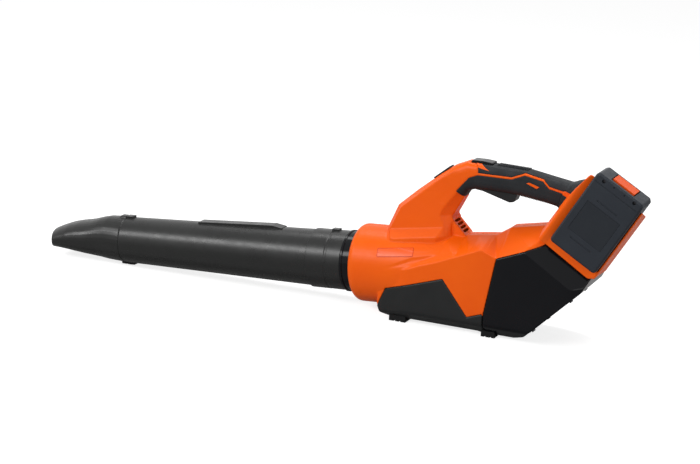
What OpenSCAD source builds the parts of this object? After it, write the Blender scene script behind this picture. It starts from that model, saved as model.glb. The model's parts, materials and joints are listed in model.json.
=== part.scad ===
// Cordless handheld axial leaf blower.
// Frame: the origin lies on the ground under the front foot, in the middle plane.
// +X points to the rear, -X is where the air leaves, +Z is up, -Y is the battery's side.

/* [Air path] */
// Height of the fan axis above the origin
axis_h = 71; // [68:0.5:80]
// Downward tilt of the blow tube towards its front, in degrees
axis_tilt = 3.75; // [2:0.25:5]
// Outside radius of the round barrel of the housing
barrel_r = 56.5; // [55:0.5:60]
// Distance of the barrel's mouth in front of the origin
mouth_reach = 88; // [84:1:92]
// Inside radius of the fan duct
duct_r = 49; // [46:0.5:49.5]
// Wall of the fan duct
duct_wall = 2; // [1.6:0.1:2.4]
// Number of fan blades
fan_blades = 9; // [5:1:11]
// Number of stator vanes
stator_vanes = 7; // [5:1:9]

/* [Tube and nozzle] */
// Length of the blow tube
tube_len = 374; // [250:1:450]
// Outside radius of the tube at its front end
tube_front_r = 35; // [33:0.5:37]
// Outside radius of the tube in front of its collar
tube_rear_r = 41.6; // [40:0.2:42.4]
// Outside radius of the tube's rear collar
collar_r = 43.4; // [43:0.1:44]
// Length of the tube's rear collar
collar_len = 55; // [45:1:65]
// Wall of the tube and the nozzle
tube_wall = 2.4; // [2:0.1:2.8]
// Length of the nozzle in front of the tube
nozzle_len = 126; // [110:1:150]
// Width of the nozzle's mouth
mouth_w = 75; // [64:1:90]
// Height of the nozzle's mouth
mouth_h = 28; // [24:1:40]

/* [Body] */
// Width of the body below the handle
body_w = 115; // [114:0.5:119]
// Wall of the housing and covers
wall = 2.6; // [2.2:0.1:3]
// Bevel along the lower edges of the body
body_bevel = 15; // [10:0.5:18]
// Height of the foot strips
foot_h = 5; // [4:0.5:6]

/* [Handle] */
// Front end of the hand opening behind the origin
loop_front = 54; // [50:1:58]
// Height of the lowest edge of the hand opening
loop_low = 134; // [132:1:136]
// Height of the hand opening below the grip
finger_gap = 64; // [60:1:72]
// Height of the grip
grip_h = 37; // [34:0.5:42]
// Width of the grip
grip_w = 35; // [32:0.5:40]
// Thickness of the soft grip
grip_t = 2; // [1.6:0.1:2.4]
// Width of the trigger
trigger_w = 19; // [14:0.5:20]

/* [Battery and dock] */
// Width of the battery pack
pack_w = 76; // [72:0.5:80]
// Length of the battery pack
pack_len = 119; // [112:1:125]
// Thickness of the battery pack
pack_t = 46; // [44:0.5:50]
// Backward lean of the dock from upright, in degrees
dock_lean = 30.4; // [28:0.2:32]
// Place of the pack's middle behind the origin
pack_x = 273; // [271:0.5:276]
// Height of the pack's middle
pack_z = 188; // [186:0.5:191]
// Width of the dock's band in front of the pack
front_band = 18.5; // [16:0.5:20]
// Thickness of the dock's band behind the pack
rear_band = 5; // [4:0.5:7]
// Width of the dock's far half behind its floor
dock_back = 34; // [32:0.5:40]

/* [Hidden] */

$fn = 96;
gap = 0.3;            // clearance between bodies and between fitted pieces
run_fit = 0.02;       // running clearance of the shaft in its bearings
arc_step = 18;        // largest turn between two points of a rounded corner
far = 400;            // longer than the machine is wide or high

// ---- places along the fan axis, from the origin towards the rear ----
mouth_s = -mouth_reach;
flange_s = mouth_s - 12;            // flange of the outlet connector
flange_t = 3;
tube_rear_s = flange_s - flange_t - gap;
tube_front_s = tube_rear_s - tube_len;
collar_front_s = tube_rear_s - collar_len;
sleeve_len = 46;
bore_r = barrel_r - wall;
pod_r = 25.3;
pod_front_s = -40;
pod_rear_s = 14;
duct_front_s = -58;
duct_rear_s = 56;
bell_rear_s = 66;
barrel_end_s = 66;
shaft_r = 2.5;
motor_r = 22.8;
motor_front_s = -34;
motor_rear_s = 12;
hub_r = 20;
hub_front_s = 18;
hub_rear_s = 42;
fan_r = duct_r - 0.9;
spinner_len = 25;

// ---- handle outline: outer point, inner point, half width ----
half_w = body_w / 2;
grip_low = loop_low + finger_gap;
grip_top_z = grip_low + grip_h;
half_grip = grip_w / 2;
lf = loop_front;
handle_stations = [
    [[-44, 92], [lf + 6, 104], half_w - 10],
    [[-43, 128], [lf, loop_low + 14], half_grip + 18],
    [[-30, 161], [lf, loop_low + 24], half_grip + 10],
    [[-2, 186.5], [lf + 7, loop_low + 37], half_grip + 5],
    [[30, 213], [lf + 15, loop_low + 53], half_grip + 2],
    [[50, 228], [lf + 20, grip_low - 3], half_grip + 1],
    [[70, grip_top_z + 2], [lf + 33, grip_low + 0.5], half_grip],
    [[108, grip_top_z + 1.5], [lf + 56, grip_low + 1], half_grip],
    [[157, grip_top_z], [lf + 98, grip_low], half_grip],
    [[190, grip_top_z - 5.5], [lf + 131, grip_low - 4.5], half_grip],
    [[219, grip_top_z - 10], [lf + 148, grip_low - 8], half_grip + 0.5],
    [[243, grip_top_z - 2], [lf + 166, grip_low - 20], half_grip + 3]
];

// ---- outlines of the body; the third number is the radius of the corner ----
belly = 6;
belly_rear = 3.6;
// lower part, seen from the side: x, z
lower_side = [
    [-38, 58, 3], [-41, 21, 5], [-35, belly + 4, 5], [-22, belly, 8], [112, belly, 0],
    [119, belly_rear, 0], [163, belly_rear, 8], [180, 9, 6], [258, 86, 6], [265, 101, 4],
    [267, 106.5, 0], [206, 144, 0], [193, 139, 0], [135.5, 115.5, 0], [114, 125, 0],
    [48, 96.5, 0], [-24, 72, 0]
];
// lower part, seen along the machine: y, z
lower_section = [
    [-half_w, belly_rear + body_bevel, 8], [-half_w + body_bevel + 1, belly_rear, 8],
    [half_w - body_bevel - 1, belly_rear, 8], [half_w, belly_rear + body_bevel, 8],
    [half_w, 200, 0], [-half_w, 200, 0]
];
// lower part, seen from above: x, y
body_plan = [
    [-41, -half_w + 9, 4], [2, -half_w, 30], [245, -half_w, 14], [272, -half_w + 14, 6],
    [272, half_w - 14, 6], [245, half_w, 14], [2, half_w, 30], [-41, half_w - 9, 4]
];
// crease where the rear flank turns inwards towards the dock: x, z, fall, inward slope
flank_crease = [199.5, 118.3, 32];
flank_slope = 0.75;
// upper part: x, height of the crease on the side, height and half width of the top
upper_stations = [
    [-24, 73.5, 80, 20, 52], [20, 88.5, 118, 24, half_w - 0.4],
    [lf - 6, 98.2, loop_low - 6, 22, half_w - 0.3],
    [lf + 21, 110, loop_low - 2.2, 10, half_w - 0.2], [96, 119, loop_low + 1, 10, half_w - 0.2],
    [114, 126.8, loop_low + 3.4, 10, half_w - 0.2], [lf + 65.5, 124.3, loop_low + 4, 10, half_w - 0.2],
    [136, 117, loop_low + 15, 11, half_w - 0.2], [lf + 86, 118.8, loop_low + 18.7, 12, half_w - 0.2],
    [186, 137.5, loop_low + 28, 12, half_w - 0.2], [206, 145.6, loop_low + 30, 12, half_w - 0.8]
];
cover_zone = [
    [-39, 21.5], [-44, 14], [-44, -20], [122, -20], [122, 35.6], [99, 27.4], [60, 76.2],
    [-27.5, 47.3]
];
shell_zone = [
    [122.6, 35.6], [122.6, -20], [300, -20], [300, 149], [207.6, 148.1], [194.3, 140.3],
    [136.2, 117]
];

// ---- soft grip outlines on the side of the handle ----
accent = [
    [88, 222], [137, 222.5], [155.5, 230.3], [182.6, 225.3], [192, 216.5], [212, 213]
];
accent_half = 1.4;
grip_top_zone = concat(
    [for (p = accent) [p[0], p[1] + accent_half]],
    [[222, 218], [227, 232], [227, 300], [73, 300], [73, 242], [87, 232]]
);
grip_under_zone = concat(
    [[75, 215], [58, 194], [68, 186], [80, 150], [215, 150], [204, 188]],
    [for (i = [len(accent) - 1 : -1 : 0]) [accent[i][0], accent[i][1] - accent_half]]
);

// ---- dock, in its own frame: x across the pack, z along its slide ----
dock_front = -pack_w / 2 - front_band - gap;
dock_rear = pack_w / 2 + rear_band + gap;
dock_low = -pack_len / 2 - 13;
dock_rim = pack_len / 2 - 14;
dock_face = -46;          // outer face of the rim, across the machine
floor_face = -4;          // face of the dock's floor behind the pack
pack_in = -14;            // inner face of the pack
pack_out = pack_in - pack_t;
bay_half = pack_w / 2 + 0.5;
bay_low = -pack_len / 2 - gap;
dock_outline = [
    [dock_front, dock_low, 9], [dock_rear - 10, dock_low - 3, 8], [dock_rear, dock_low + 6, 6],
    [dock_rear, dock_rim - 2, 2], [dock_rear - 4, dock_rim, 2], [dock_front + 11, dock_rim, 5],
    [dock_front + 1.5, -10, 30]
];
// dock seen along its slide: across the pack, across the machine
dock_section = [
    [dock_front, -33, 6], [dock_front + 6, dock_face - 3.5, 3], [-bay_half - 1.5, dock_face, 0],
    [bay_half + 0.8, dock_face, 0], [dock_rear, -6, 5], [dock_rear - 8, dock_back, 6],
    [dock_front + 5, dock_back, 6]
];
// the rim falls towards the far side
rim_fall = 0.354;
dock_height = [
    [-70, -far], [70, -far], [70, dock_rim + 0.5 + (dock_face - 70) * rim_fall],
    [-70, dock_rim + 0.5 + (dock_face + 70) * rim_fall]
];

// ---- trigger ----
pivot = [84, grip_low + 6];
pivot_r = 2;

// ---- grille on the slanted rear underside ----
grille_mid = [215, 43];
grille_slope = 45;
grille_len = 80;
grille_w = 80;
grille_t = 2.6;

// ---- screws that join the halves: x, z, half width of the body there ----
screw_places = [
    [30, 190, 19], [62, 215, 16], [170, 214, 15], [214, 203, 16], [-12, 138, 30],
    [100, 118, half_w - 7.5], [106, 50, half_w - 0.5]
];
screw_seat = 12;

// ======================= functions =======================
function unit(v) = v / norm(v);
function turn(a) = a > 180 ? a - 360 : (a < -180 ? a + 360 : a);

// points of one rounded corner; p and s are its neighbours, q is [x, z, radius]
function corner(p, q, s) = q[2] == 0 ? [[q[0], q[1]]] :
    let (a = unit([p[0] - q[0], p[1] - q[1]]),
         b = unit([s[0] - q[0], s[1] - q[1]]),
         half = acos(max(-1, min(1, a * b))) / 2,
         centre = [q[0], q[1]] + unit(a + b) * q[2] / sin(half),
         first = [q[0], q[1]] + a * q[2] / tan(half),
         last = [q[0], q[1]] + b * q[2] / tan(half),
         start = atan2(first[1] - centre[1], first[0] - centre[0]),
         sweep = turn(atan2(last[1] - centre[1], last[0] - centre[0]) - start),
         steps = max(1, ceil(abs(sweep) / arc_step)))
    [for (i = [0 : steps])
        centre + q[2] * [cos(start + sweep * i / steps), sin(start + sweep * i / steps)]];

// quarter round from [r - c, s] to [r, s + c], for turned profiles
function quarter(r, s, c) = [for (a = [90 : -15 : 0]) [r - c + c * cos(a), s + c - c * sin(a)]];

function rounded(pts) =
    let (n = len(pts))
    [for (i = [0 : n - 1]) each corner(pts[(i + n - 1) % n], pts[i], pts[(i + 1) % n])];

// moves every point of an outline that runs counter-clockwise outwards by d
function grown(pts, d) =
    let (n = len(pts))
    [for (i = [0 : n - 1])
        let (a = unit(pts[i] - pts[(i + n - 1) % n]),
             b = unit(pts[(i + 1) % n] - pts[i]),
             m = unit([a[1] + b[1], -a[0] - b[0]]))
        pts[i] + m * d / max(0.5, m * [a[1], -a[0]])];

function power(x, p) = sign(x) * pow(abs(x), p);

// closed ring with the shape of a rounded rectangle, around the middle of two points
function handle_ring(st, grow, sides = 28, square = 3.2) =
    let (mid = (st[0] + st[1]) / 2,
         reach = st[0] - st[1],
         half = norm(reach) / 2 + grow,
         along = unit(reach))
    [for (i = [sides - 1 : -1 : 0])
        let (t = 360 * i / sides,
             u = power(cos(t), 2 / square) * half,
             v = power(sin(t), 2 / square) * (st[2] + grow))
        [mid[0] + along[0] * u, v, mid[1] + along[1] * u]];

// ======================= tools =======================
module on_axis() translate([0, 0, axis_h]) rotate([0, -axis_tilt, 0]) children();

module in_dock() translate([pack_x, 0, pack_z]) rotate([0, dock_lean, 0]) children();

module on_grille()
    translate([grille_mid[0], 0, grille_mid[1]]) rotate([0, -grille_slope, 0]) children();

module side_slab(points, y_low, y_high)
    rotate([90, 0, 0]) translate([0, 0, -y_high]) linear_extrude(y_high - y_low) polygon(points);

// solid of revolution about the x axis; points are [radius, place along the axis]
module turned(points) rotate([0, 90, 0]) rotate_extrude() polygon(points);

module rod(r, s0, s1) translate([s0, 0, 0]) rotate([0, 90, 0]) cylinder(h = s1 - s0, r = r);

module ring(r_out, r_in, s0, s1)
    turned([[r_in, s0], [r_out, s0], [r_out, s1], [r_in, s1]]);

// bar along x with the given section across the machine
module length_bar(points, x0, x1)
    translate([x0, 0, 0]) rotate([90, 0, 90]) linear_extrude(x1 - x0) polygon(points);

// part of a ring about the x axis, between two angles counted from below
module sector(r0, r1, s0, s1, a0, a1) rotate([a0, 0, 0]) rotate([0, 90, 0])
    rotate_extrude(angle = a1 - a0) translate([r0, s0]) square([r1 - r0, s1 - s0]);

module cross_rod(x, z, r, y0, y1)
    translate([x, y1, z]) rotate([90, 0, 0]) cylinder(h = y1 - y0, r = r, $fn = 40);

module block(x, y, z) translate([x[0], y[0], z[0]]) cube([x[1] - x[0], y[1] - y[0], z[1] - z[0]]);

// closes the space between rings of points; bowed ends are closed by flat strips
module loft(rings, bowed = false) {
    n = len(rings[0]);
    m = len(rings);
    ends = bowed
        ? [for (i = [0 : n / 2 - 1]) [i, i + 1, n - i - 1, (n - i) % n]]
        : [[for (i = [0 : n - 1]) i]];
    polyhedron(
        points = [for (r = rings) each r],
        faces = concat(
            ends,
            [for (k = [0 : m - 2], i = [0 : n - 1])
                each [[k * n + i, (k + 1) * n + (i + 1) % n, k * n + (i + 1) % n],
                      [k * n + i, (k + 1) * n + i, (k + 1) * n + (i + 1) % n]]],
            [for (e = ends) [for (i = [len(e) - 1 : -1 : 0]) (m - 1) * n + e[i]]]));
}

// slab across the machine whose two outer edges are bevelled
module bevelled_slab(points, y_low, y_high, bevel) {
    inner = grown(points, -bevel);
    loft([
        [for (p = inner) [p[0], y_high, p[1]]],
        [for (p = points) [p[0], y_high - bevel, p[1]]],
        [for (p = points) [p[0], y_low + bevel, p[1]]],
        [for (p = inner) [p[0], y_low, p[1]]]
    ]);
}

// helix of wire as one unbroken tube, along z from 0 to height
module coil(r, wire_r, height, turns, sides = 6, per_turn = 12) {
    steps = turns * per_turn;
    loft([for (k = [0 : steps])
        let (t = 360 * k / per_turn,
             z = wire_r + (height - 2 * wire_r) * k / steps)
        [for (i = [sides - 1 : -1 : 0])
            let (q = 360 * i / sides, rr = r + wire_r * cos(q))
            [rr * cos(t), rr * sin(t), z + wire_r * sin(q)]]]);
}

// ======================= nozzle and tube =======================
nozzle_rear_s = tube_front_s - gap;
nozzle_drop = 4;
mouth_lead = 9;
// share of the length, and how far top, underside and width have gone to the mouth's size
nozzle_shares = [
    [0, 0, 0, 0], [0.12, -0.02, 0.07, -0.2], [0.25, 0.0, 0.15, -0.5], [0.37, 0.12, 0.3, -0.4],
    [0.5, 0.3, 0.42, 0], [0.58, 0.38, 0.5, 0.3], [0.68, 0.46, 0.62, 0.6],
    [0.8, 0.6, 0.77, 0.85], [0.91, 0.8, 0.9, 0.95], [1, 1, 1, 1]
];
twist = 25;            // turn that frees a bayonet lug
lug_arc = 8;           // half the arc of a lug
key_len = 11;          // length of the outside keys where nozzle and tube meet

// ring of the nozzle's outside at one row of the shares
function nozzle_ring(row, grow, sides = 36) =
    let (t = row[0],
         top = tube_front_r + (mouth_h / 2 - nozzle_drop - tube_front_r) * row[1] + grow,
         low = tube_front_r + (mouth_h / 2 + nozzle_drop - tube_front_r) * row[2] + grow,
         half_w = tube_front_r + (mouth_w / 2 - tube_front_r) * row[3] + grow,
         square = 2 + 0.3 * t,
         s = nozzle_rear_s - (nozzle_len - mouth_lead) * t)
    [for (i = [sides : -1 : 1])
        let (q = 360 * i / sides,
             y = half_w * power(cos(q), 2 / square),
             z = (top - low) / 2 + (top + low) / 2 * power(sin(q), 2 / square),
             bow = mouth_lead * t * t * (1 - pow(y / half_w, 2)))
        [s - bow, y, z]];

module nozzle() {
    color("#1c1d1f") on_axis() difference() {
        union() {
            loft([for (row = nozzle_shares) nozzle_ring(row, 0)], bowed = true);
            ring(tube_front_r - tube_wall - gap, tube_front_r - 2 * tube_wall - gap,
                 nozzle_rear_s - 6, nozzle_rear_s + 22);
            ring(tube_front_r - 0.7, tube_front_r - 2 * tube_wall - gap,
                 nozzle_rear_s - 6, nozzle_rear_s - 0.2);
            for (a = [0, 180]) {
                rotate([a, 0, 0]) translate([nozzle_rear_s - key_len, -6, tube_front_r - 2])
                    cube([key_len, 12, 5]);
                sector(tube_front_r - 2 * tube_wall, tube_front_r - 1.6, nozzle_rear_s + 13,
                       nozzle_rear_s + 17, a - lug_arc, a + lug_arc);
            }
        }
        loft([for (row = nozzle_shares)
            [for (p = nozzle_ring(row, -tube_wall))
                p - [row[0] == 0 ? 6 : (row[0] == 1 ? 1 : 0), 0, 0]]], bowed = true);
        rod(tube_front_r - 2 * tube_wall - gap, nozzle_rear_s - 12, nozzle_rear_s + 30);
    }
}

module blower_tube() {
    strip_rear_s = tube_rear_s - 108;
    strip_len = 139;
    sleeve_lug_s = flange_s - 44;
    nozzle_lug_s = nozzle_rear_s + 13;
    color("#202123") on_axis() difference() {
        union() {
            turned([
                [0, tube_front_s], [tube_front_r - 0.5, tube_front_s],
                [tube_front_r, tube_front_s + 1], [tube_rear_r, collar_front_s - 1],
                [collar_r, collar_front_s], [collar_r, tube_rear_s - 27],
                [collar_r - 0.6, tube_rear_s - 26], [collar_r - 0.6, tube_rear_s - 23.5],
                [collar_r, tube_rear_s - 22.5], [collar_r, tube_rear_s - 1],
                [collar_r - 1, tube_rear_s], [0, tube_rear_s]
            ]);
            side_slab([
                [strip_rear_s - strip_len, 30], [strip_rear_s - strip_len, tube_front_r + 4.6],
                [strip_rear_s - 16, collar_r + 0.7], [strip_rear_s, tube_rear_r - 0.5],
                [strip_rear_s, 30]
            ], -9, 9);
            translate([tube_rear_s - 28, -5, collar_r - 2]) cube([11, 10, 4.5]);
            for (a = [0, 180]) rotate([a, 0, 0])
                translate([tube_front_s, -6, tube_front_r - 2]) cube([key_len, 12, 5]);
        }
        turned([
            [0, tube_front_s - 1], [tube_front_r - tube_wall, tube_front_s - 1],
            [tube_front_r - tube_wall, tube_front_s + 26],
            [tube_rear_r - tube_wall, collar_front_s],
            [collar_r - tube_wall, collar_front_s + 5], [collar_r - tube_wall, tube_rear_s + 1],
            [0, tube_rear_s + 1]
        ]);
        for (a = [0, 180]) {
            sector(collar_r - tube_wall - 0.5, collar_r - 1.2, sleeve_lug_s - 0.4,
                   sleeve_lug_s + 5.4, a - twist - lug_arc - 0.6, a + lug_arc + 0.6);
            sector(collar_r - tube_wall - 0.6, collar_r - 1.25, sleeve_lug_s, tube_rear_s + 1,
                   a - twist - lug_arc - 0.4, a - twist + lug_arc + 0.4);
            sector(tube_front_r - tube_wall - 0.5, tube_front_r - 1.3, nozzle_lug_s - 0.4,
                   nozzle_lug_s + 4.4, a - lug_arc - 0.6, a + twist + lug_arc + 0.6);
            sector(tube_front_r - tube_wall - 0.6, tube_front_r - 1.35, tube_front_s - 1,
                   nozzle_lug_s + 4, a + twist - lug_arc - 0.4, a + twist + lug_arc + 0.4);
        }
    }
}

neck_r = collar_r + 0.2;
module outlet_connector() {
    sleeve_r = collar_r - tube_wall - gap;
    end_s = duct_front_s - 0.1;
    color("#0c0c0e") on_axis() difference() {
        union() {
            rod(sleeve_r, flange_s - sleeve_len, flange_s);
            rod(collar_r + 1.6, flange_s - flange_t, flange_s);
            turned([[0, flange_s - 1], [neck_r, flange_s - 1], [neck_r, mouth_s + 6.3],
                    [bore_r - gap, mouth_s + 6.3], [bore_r - gap, end_s], [0, end_s]]);
            for (a = [0, 180])
                sector(sleeve_r - 1, collar_r - 1.5, flange_s - 44, flange_s - 39,
                       a - lug_arc, a + lug_arc);
        }
        turned([[0, flange_s - sleeve_len - 1], [sleeve_r - tube_wall, flange_s - sleeve_len - 1],
                [sleeve_r - tube_wall, flange_s], [neck_r - 2.4, mouth_s + 7],
                [duct_r, end_s], [duct_r, end_s + 1], [0, end_s + 1]]);
    }
}

// ======================= housing =======================
module barrel_form() on_axis() turned(concat(
    [[0, mouth_s]], quarter(barrel_r, mouth_s, 10), [[barrel_r, 60], [0, 60]]));

// ring across the body's upper part at a station; grow moves its faces outwards
function upper_ring(st, grow) =
    let (half = st[4] + grow, crease = st[1] + grow * 0.6, top = st[2] + grow * 0.85,
         half_top = st[3] + grow * 0.6)
    [for (p = [[-half, 62], [half, 62], [half, crease], [half_top, top], [-half_top, top],
               [-half, crease]])
        [st[0], p[0], p[1]]];

module lower_part(grow) intersection() {
    side_slab(grown(rounded(lower_side), grow), -far, far);
    length_bar(grown(rounded(lower_section), grow), -far, far);
    linear_extrude(far) polygon(grown(rounded(body_plan), grow));
}

// web in the lower front corner of the hand opening
module corner_web(grow) side_slab(grown([
    [lf - 8, loop_low - 30], [lf + 21, loop_low - 2.2], [lf - 8, loop_low + 26.5]
], grow), -16 - grow, 16 + grow);

module body_form(grow = 0) intersection() {
    union() {
        lower_part(grow);
        loft([for (st = upper_stations) upper_ring(st, grow)]);
        corner_web(grow);
    }
    translate([flank_crease[0], 0, flank_crease[1]]) rotate([0, flank_crease[2], 0])
        length_bar(grown([
            [-half_w - 1, -far], [half_w + 1, -far], [half_w + 1, -1 / flank_slope],
            [half_w - 60 * flank_slope, 60], [60 * flank_slope - half_w, 60],
            [-half_w - 1, -1 / flank_slope]
        ], grow), -far, far);
}

module handle_form(grow = 0, last = 0)
    loft([for (i = [0 : len(handle_stations) - 1 - last]) handle_ring(handle_stations[i], grow)]);

module dock_form(grow = 0) in_dock() intersection() {
    side_slab(grown(rounded(dock_outline), grow), -far, far);
    translate([0, 0, -far]) linear_extrude(2 * far) polygon(grown(rounded(dock_section), grow));
    length_bar(grown(dock_height, grow), -far, far);
}

module bay() in_dock()
    block([-bay_half, bay_half], [-far, floor_face], [bay_low, far]);

module zones() {
    side_slab(cover_zone, -far, far);
    side_slab(shell_zone, -far, far);
}

// body and handle of the housing before they are hollowed, without the dock
module outer_form() {
    difference() {
        union() {
            barrel_form();
            body_form();
        }
        zones();
    }
    difference() {
        handle_form();
        side_slab(grip_top_zone, -far, far);
        side_slab(grip_under_zone, -far, far);
    }
    handle_form(-grip_t);
}

module bore() on_axis() {
    rod(bore_r, mouth_s + 6, barrel_end_s + 2);
    rod(neck_r + 0.4, mouth_s - 2, mouth_s + 8);
    rod(barrel_r - 12, barrel_end_s, 110);
}

module hollow() {
    bore();
    handle_form(-grip_t - wall, 1);
    body_form(-wall);
}

module dock_hollows() {
    intersection() {
        dock_form(-wall);
        in_dock() block([-far, far], [floor_face + wall, far], [dock_low + wall + 2, far]);
    }
    in_dock() {
        block([dock_front + wall + 4, -bay_half - wall], [dock_face + wall, floor_face + 3],
              [dock_low + 14, dock_rim - 20]);
        block([-bay_half, bay_half], [dock_face + wall, floor_face + wall + 1],
              [dock_low + wall + 2, bay_low - wall]);
        block([-24, -10], [8, 20], [dock_low - 4, dock_low + 8]);
    }
}

// slots in the slanted face below the front of the hand opening
module vents() {
    a = [lf - 1, loop_low + 19.5];
    b = [lf + 21, loop_low - 2.2];
    for (i = [0 : 3]) translate([a[0], 0, a[1]] + (0.2 + 0.2 * i) * [b[0] - a[0], 0, b[1] - a[1]])
        rotate([0, 45, 0]) cube([3.4, 20, 16], center = true);
}

module housing_cuts() {
    bay();
    dock_hollows();
    trigger_slot();
    turbo_slot();
    inlay_seat(0.2);
    screw_holes();
    trigger_pin_hole();
    vents();
    foot_bars(0.15);
}

module screw_bosses(y_sign)
    for (p = screw_places)
        cross_rod(p[0], p[1], 4.6, y_sign > 0 ? 0 : -p[2] + 1, y_sign > 0 ? p[2] - 1 : 0);

module screw_holes()
    for (p = screw_places) {
        cross_rod(p[0], p[1], 1.9, -14, screw_seat + 1);
        cross_rod(p[0], p[1], 3.7, screw_seat, far);
    }

// ribs that hold the fan duct's rear end and the two switches
module carriers() {
    difference() {
        on_axis() ring(barrel_r - 0.1, bore_r, duct_rear_s - 8, barrel_end_s - 2);
        zones();
        block([40, 76], [-1, 8], [axis_h + 50, axis_h + 70]);
    }
    for (y = [-1, 1]) {
        block([100, 132], y > 0 ? [8.3, half_grip - 4] : [4 - half_grip, -8.3],
              [spring_top + 0.5, spring_top + 11.5]);
        block([77, 96], y > 0 ? [7.3, half_grip - 4] : [4 - half_grip, -7.3],
              [spring_top + 10.2, grip_top_z - 8.5]);
    }
}

module housing_half(y_sign) {
    half = y_sign > 0 ? [0, far] : [-far, 0];
    intersection() {
        difference() {
            union() {
                difference() {
                    outer_form();
                    hollow();
                }
                dock_form();
                screw_bosses(y_sign);
                carriers();
            }
            housing_cuts();
        }
        block([-far, far], half, [-far, far]);
    }
}

module housing_left() color("#ff5a0a") housing_half(-1);

module housing_right() color("#ff5a0a") housing_half(1);

module front_cover() color("#17181a") difference() {
    intersection() {
        body_form();
        side_slab(grown(cover_zone, -0.15), -far, far);
    }
    body_form(-wall);
    bore();
    foot_bars(0.15);
}

module intake_shell() color("#0d0e11") difference() {
    union() {
        difference() {
            intersection() {
                body_form();
                side_slab(grown(shell_zone, -0.15), -far, far);
            }
            body_form(-wall);
        }
        grille_ears();
    }
    dock_form(gap);
    on_grille() block([-grille_len / 2 - gap, grille_len / 2 + gap],
                      [-grille_w / 2 - gap, grille_w / 2 + gap], [-8, grille_t + 0.2]);
    on_grille() block([-grille_len / 2 + 9, grille_len / 2 - 9],
                      [-grille_w / 2 + 2, grille_w / 2 - 2], [-8, 12]);
    foot_bars(0.15);
    grille_screw_places(1.3, -1, 7);
    in_dock() block([-25, -9], [7, 21], [dock_low - 12, dock_low + 8]);
}

// ears inside the shell that the grille is screwed to
module grille_ears() on_grille() intersection() {
    difference() {
        block([-grille_len / 2 - 3, grille_len / 2 + 3], [-grille_w / 2 - 5, grille_w / 2 + 5],
              [0.5, grille_t + 3.2]);
        block([-grille_len / 2 + 9, grille_len / 2 - 9], [-far, far], [-1, 20]);
    }
    rotate([0, grille_slope, 0]) translate([-grille_mid[0], 0, -grille_mid[1]])
        lower_part(-1);
}

module grille_screw_places(r, z0, z1) on_grille()
    for (x = [-1, 1], y = [-1, 1])
        translate([x * (grille_len / 2 - 4.5), y * (grille_w / 2 - 6), z0])
            cylinder(h = z1 - z0, r = r, $fn = 32);

module intake_grille() {
    slots = 11;
    pitch = (grille_len - 22) / slots;
    color("#101114") difference() {
        on_grille() block([-grille_len / 2, grille_len / 2], [-grille_w / 2, grille_w / 2],
                          [0, grille_t]);
        on_grille() for (i = [0 : slots - 1], y = [-1, 1])
            translate([-grille_len / 2 + 11 + pitch * (i + 0.5) - 1.7,
                       y > 0 ? 2 : -grille_w / 2 + 8, -1])
                cube([3.4, grille_w / 2 - 10, grille_t + 2]);
        grille_screw_places(1.7, -1, 7);
    }
}

module grille_screws() color("#3a3a3c") {
    grille_screw_places(1.25, -0.2, 6.6);
    grille_screw_places(2.8, -1.8, -0.1);
}

module housing_screws() color("#3a3a3c") for (p = screw_places) {
    cross_rod(p[0], p[1], 1.6, -13, screw_seat + 0.5);
    cross_rod(p[0], p[1], 3.3, screw_seat + 0.2, screw_seat + 3);
}

// ---- feet ----
foot_half = half_w - 11;
foot_x = [[-21, 4], [118, 138]];

module foot_bars(grow) difference() {
    for (x = foot_x)
        block([x[0] - grow, x[1] + grow], [-foot_half - grow, foot_half + grow], [0, foot_h + 11]);
    lower_part(-1.6 - grow);
}

module foot_strips() color("#141416") difference() {
    foot_bars(0);
    for (x = foot_x, i = [-0.5, 0.5])
        translate([(x[0] + x[1]) / 2 + i * 8 - 1, -far, -1]) cube([2, 2 * far, 2.2]);
}

// ======================= grip and controls =======================
module grip_skin(zone) difference() {
    intersection() {
        handle_form();
        side_slab(grown(zone, -0.15), -far, far);
    }
    handle_form(-grip_t + 0.02);
    trigger_slot();
    turbo_slot();
    screw_heads_clear();
}

module screw_heads_clear()
    for (p = screw_places) cross_rod(p[0], p[1], 3.9, 0, far);

module grip_top() color("#24282c") grip_skin(grip_top_zone);

module grip_under() color("#24282c") difference() {
    grip_skin(grip_under_zone);
    cross_rod(pivot[0], pivot[1], pivot_r + 0.3, -pin_half - 0.3, pin_half + 0.3);
    ribs = 30;
    for (i = [0 : ribs - 1])
        translate([148 + 1.7 * i, -far, grip_low - 1.4 - 0.13 * i - 1])
            cube([0.8, 2 * far, 1.6]);
}

slope_angle = atan2(213 - 186.5, 32);
module inlay_seat(grow) translate([32, 0, 214.7]) rotate([0, -slope_angle, 0])
    block([-15 - grow, 15 + grow], [-7 - grow, 7 + grow], [-1.2 - grow, 1.6]);

module slope_inlay() color("#161618") inlay_seat(0);

trigger_side = [
    [pivot[0] - 5, pivot[1] + 5, 3], [pivot[0] - 5, pivot[1] - 5, 3], [94, grip_low - 0.5, 6],
    [134, grip_low - 11.5, 4], [141, grip_low - 10, 3], [144.5, grip_low + 1, 2],
    [143.5, grip_low + 5, 2], [92, grip_low + 8, 6]
];

module trigger_slot() {
    side_slab([[pivot[0] - 8, grip_low - 30], [148, grip_low - 30], [148, grip_low + 8.6],
               [pivot[0] - 8, grip_low + 8.6]], -trigger_w / 2 - 0.7, trigger_w / 2 + 0.7);
}

module trigger() color("#15161a") difference() {
    side_slab(rounded(trigger_side), -trigger_w / 2, trigger_w / 2);
    side_slab([[93, grip_low + 3.5], [133, grip_low - 7.5], [139, grip_low - 6],
               [141, grip_low + 20], [93, grip_low + 20]],
              -trigger_w / 2 + 2.2, trigger_w / 2 - 2.2);
    cross_rod(pivot[0], pivot[1], pivot_r + 0.05, -far, far);
}

pin_half = half_grip - grip_t - 3;
module trigger_pin() color("#b8babd") cross_rod(pivot[0], pivot[1], pivot_r, -pin_half, pin_half);

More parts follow.
